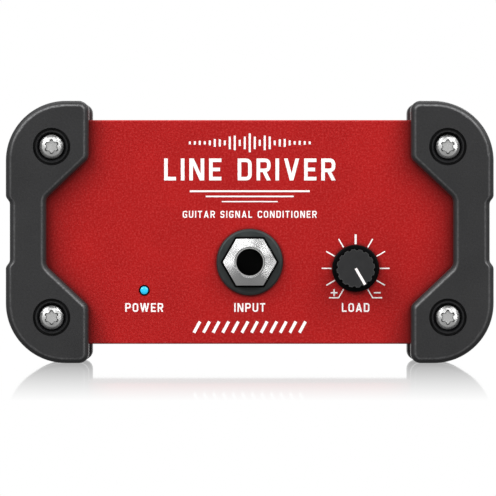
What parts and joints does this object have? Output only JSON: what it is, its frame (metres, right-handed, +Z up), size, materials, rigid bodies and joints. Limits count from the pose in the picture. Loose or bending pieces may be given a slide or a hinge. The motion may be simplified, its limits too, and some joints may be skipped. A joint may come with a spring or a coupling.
{
  "type": "instrument line driver box",
  "caption": "Low rectangular metal box between four moulded corner bumpers, with a jack socket, a rotary knob and a power light in front and balanced, thru and supply connectors behind.",
  "frame": {"origin": "middle of the underside, on the surface that the bumpers stand on", "axes": "+Z up, the front panel faces -Y, +X to the right seen from the front"},
  "size_m": [0.122, 0.134, 0.0656],
  "materials": {
    "case_paint": "fine red powder coat on aluminium",
    "panel_paint": "fine red powder coat on aluminium",
    "bumper_rubber": "dark grey moulded elastomer",
    "black_moulding": "black moulded plastic",
    "knob_plastic": "black moulded knob plastic",
    "white_ink": "white ink",
    "white_moulding": "white moulded plastic",
    "bright_nickel": "bright nickel plate",
    "satin_nickel": "satin nickel",
    "chrome_nut": "polished chrome",
    "dark_washer": "dark moulded washer",
    "black_steel": "black oxide steel",
    "gold_contact": "gold-flashed brass",
    "tin_plate": "tin-plated spring strip",
    "aluminium_turned": "turned aluminium",
    "phenolic": "brown laminate",
    "light_cyan": "lit clear acrylic",
    "led_body": "white lamp body",
    "board_green": "green solder mask",
    "core_steel": "varnished laminations",
    "winding_tape": "yellow winding tape",
    "capacitor_sleeve": "dark capacitor sleeve",
    "film_capacitor_case": "red film capacitor case",
    "chip_epoxy": "moulded epoxy",
    "black_anodised": "black anodised aluminium"
  },
  "bodies": {
    "case": {"amplifier_chips": "chip_epoxy", "bumper_front_left": "bumper_rubber", "bumper_front_right": "bumper_rubber", "bumper_rear_left": "bumper_rubber", "bumper_rear_right": "bumper_rubber", "capacitor_cans": "capacitor_sleeve", "case_screws_front": "bright_nickel", "case_screws_rear": "bright_nickel", "case_sleeve": "case_paint", "dc_inlet_housing": "black_moulding", "dc_inlet_pin": "bright_nickel", "dc_inlet_spring": "tin_plate", "film_capacitors": "film_capacitor_case", "front_panel": "panel_paint", "heat_sink": "black_anodised", "input_jack_bush": "bright_nickel", "input_jack_housing": "black_moulding", "input_jack_nut": "chrome_nut", "input_jack_sleeve_contact": "tin_plate", "input_jack_switch_contact": "tin_plate", "input_jack_tip_terminal": "tin_plate", "input_jack_washer": "dark_washer", "lift_switch_body": "black_moulding", "lift_switch_spring": "bright_nickel", "main_board": "board_green", "pot_bracket": "tin_plate", "pot_element": "phenolic", "pot_housing": "satin_nickel", "pot_terminals": "tin_plate", "power_led": "led_body", "power_light_pipe": "light_cyan", "rear_panel": "panel_paint", "resistors": "chip_epoxy", "screw_cups_front": "black_moulding", "screw_cups_rear": "black_moulding", "thru_jack_bush": "bright_nickel", "thru_jack_housing": "black_moulding", "thru_jack_nut": "chrome_nut", "thru_jack_sleeve_contact": "tin_plate", "thru_jack_switch_contact": "tin_plate", "thru_jack_tip_terminal": "tin_plate", "thru_jack_washer": "dark_washer", "transformer_bobbin": "black_moulding", "transformer_core": "core_steel", "transformer_winding": "winding_tape", "voltage_regulator": "chip_epoxy", "xlr_insert": "black_moulding", "xlr_pins": "gold_contact", "xlr_screws": "black_steel", "xlr_shell": "satin_nickel"},
    "knob": {"load_knob": "knob_plastic", "knob_pointer": "white_ink", "pot_shaft": "aluminium_turned", "pot_wiper": "phenolic"},
    "lift_button": {"lift_button_cap": "knob_plastic", "lift_switch_stem": "white_moulding"},
    "input_tip_leaf": {"input_jack_tip_spring": "tin_plate"},
    "thru_tip_leaf": {"thru_jack_tip_spring": "tin_plate"}
  },
  "joints": [
    {"name": "load_knob_turn", "type": "hinge", "parent": "case", "child": "knob", "pos_m": [0.0265, -0.06, 0.0237], "axis": [0, -1, 0], "range_deg": [0, 300]},
    {"name": "lift_button_press", "type": "slide", "parent": "case", "child": "lift_button", "axis": [0, -1, 0], "range_m": [0, 0.0025], "stiffness_N_per_m": 800, "springref_m": -0.001, "deforming": ["lift_switch_spring"]},
    {"name": "input_tip_flex", "type": "hinge", "parent": "case", "child": "input_tip_leaf", "pos_m": [0, -0.0316, 0.03145], "axis": [-1, 0, 0], "range_deg": [0, 6], "stiffness_Nm_per_rad": 0.02},
    {"name": "thru_tip_flex", "type": "hinge", "parent": "case", "child": "thru_tip_leaf", "pos_m": [0.006, 0.0341, 0.03145], "axis": [1, 0, 0], "range_deg": [0, 6], "stiffness_Nm_per_rad": 0.02}
  ]
}
